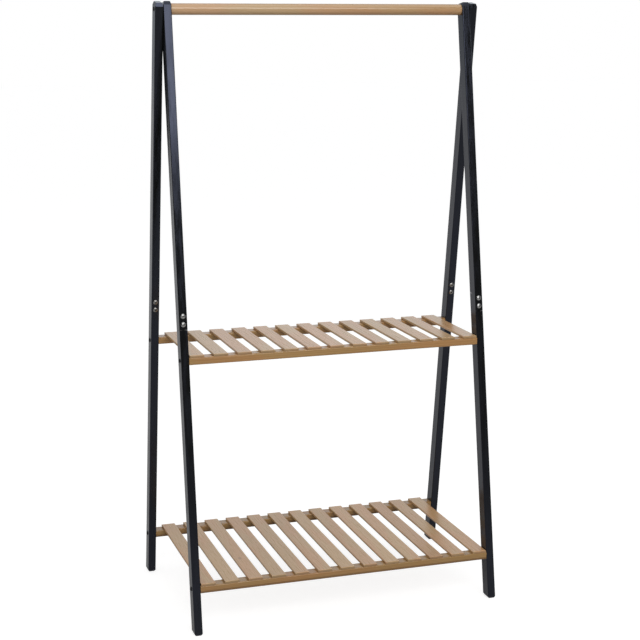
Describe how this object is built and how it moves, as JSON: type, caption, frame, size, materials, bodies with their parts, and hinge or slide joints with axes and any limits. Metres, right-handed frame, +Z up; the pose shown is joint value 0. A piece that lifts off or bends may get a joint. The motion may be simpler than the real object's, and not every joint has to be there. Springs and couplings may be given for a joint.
{
  "type": "clothes rack",
  "caption": "Free-standing wooden A-frame clothes rack with crossed black legs, a round hanging rod and slatted shelves.",
  "frame": {"origin": "on the floor, under the middle of the rack", "axes": "+Z up, +X along the hanging rod to the right seen from the front, -Y towards the front"},
  "size_m": [0.8306, 0.4848, 1.4968],
  "materials": {
    "black_lacquer": "satin black lacquer on wood",
    "rod_wood": "satin clear varnish on pale wood",
    "rail_wood": "satin clear varnish on golden brown wood",
    "upper_slat_wood": "satin clear varnish on pale wood",
    "lower_slat_wood": "satin clear varnish on pale wood",
    "nickel_plate": "bright nickel plate",
    "black_steel": "black oxide",
    "zinc_steel": "zinc plate"
  },
  "bodies": {
    "root": {"front_left_upper_leg": "black_lacquer", "front_left_lower_leg": "black_lacquer", "front_right_upper_leg": "black_lacquer", "front_right_lower_leg": "black_lacquer", "rear_left_upper_leg": "black_lacquer", "rear_left_lower_leg": "black_lacquer", "rear_right_upper_leg": "black_lacquer", "rear_right_lower_leg": "black_lacquer", "hanging_rod": "rod_wood", "upper_front_rail": "rail_wood", "upper_rear_rail": "rail_wood", "lower_front_rail": "rail_wood", "lower_rear_rail": "rail_wood", "upper_slat_1": "upper_slat_wood", "upper_slat_2": "upper_slat_wood", "upper_slat_3": "upper_slat_wood", "upper_slat_4": "upper_slat_wood", "upper_slat_5": "upper_slat_wood", "upper_slat_6": "upper_slat_wood", "upper_slat_7": "upper_slat_wood", "upper_slat_8": "upper_slat_wood", "upper_slat_9": "upper_slat_wood", "upper_slat_10": "upper_slat_wood", "upper_slat_11": "upper_slat_wood", "upper_slat_12": "upper_slat_wood", "upper_slat_13": "upper_slat_wood", "lower_slat_1": "lower_slat_wood", "lower_slat_2": "lower_slat_wood", "lower_slat_3": "lower_slat_wood", "lower_slat_4": "lower_slat_wood", "lower_slat_5": "lower_slat_wood", "lower_slat_6": "lower_slat_wood", "lower_slat_7": "lower_slat_wood", "lower_slat_8": "lower_slat_wood", "lower_slat_9": "lower_slat_wood", "lower_slat_10": "lower_slat_wood", "lower_slat_11": "lower_slat_wood", "lower_slat_12": "lower_slat_wood", "lower_slat_13": "lower_slat_wood", "lap_bolts": "nickel_plate", "lap_sleeve_nuts": "nickel_plate", "rail_bolts": "black_steel", "rail_barrel_nuts": "zinc_steel", "rod_bolts": "black_steel", "rod_inserts": "zinc_steel", "upper_slat_screws": "zinc_steel", "lower_slat_screws": "zinc_steel"}
  },
  "joints": []
}
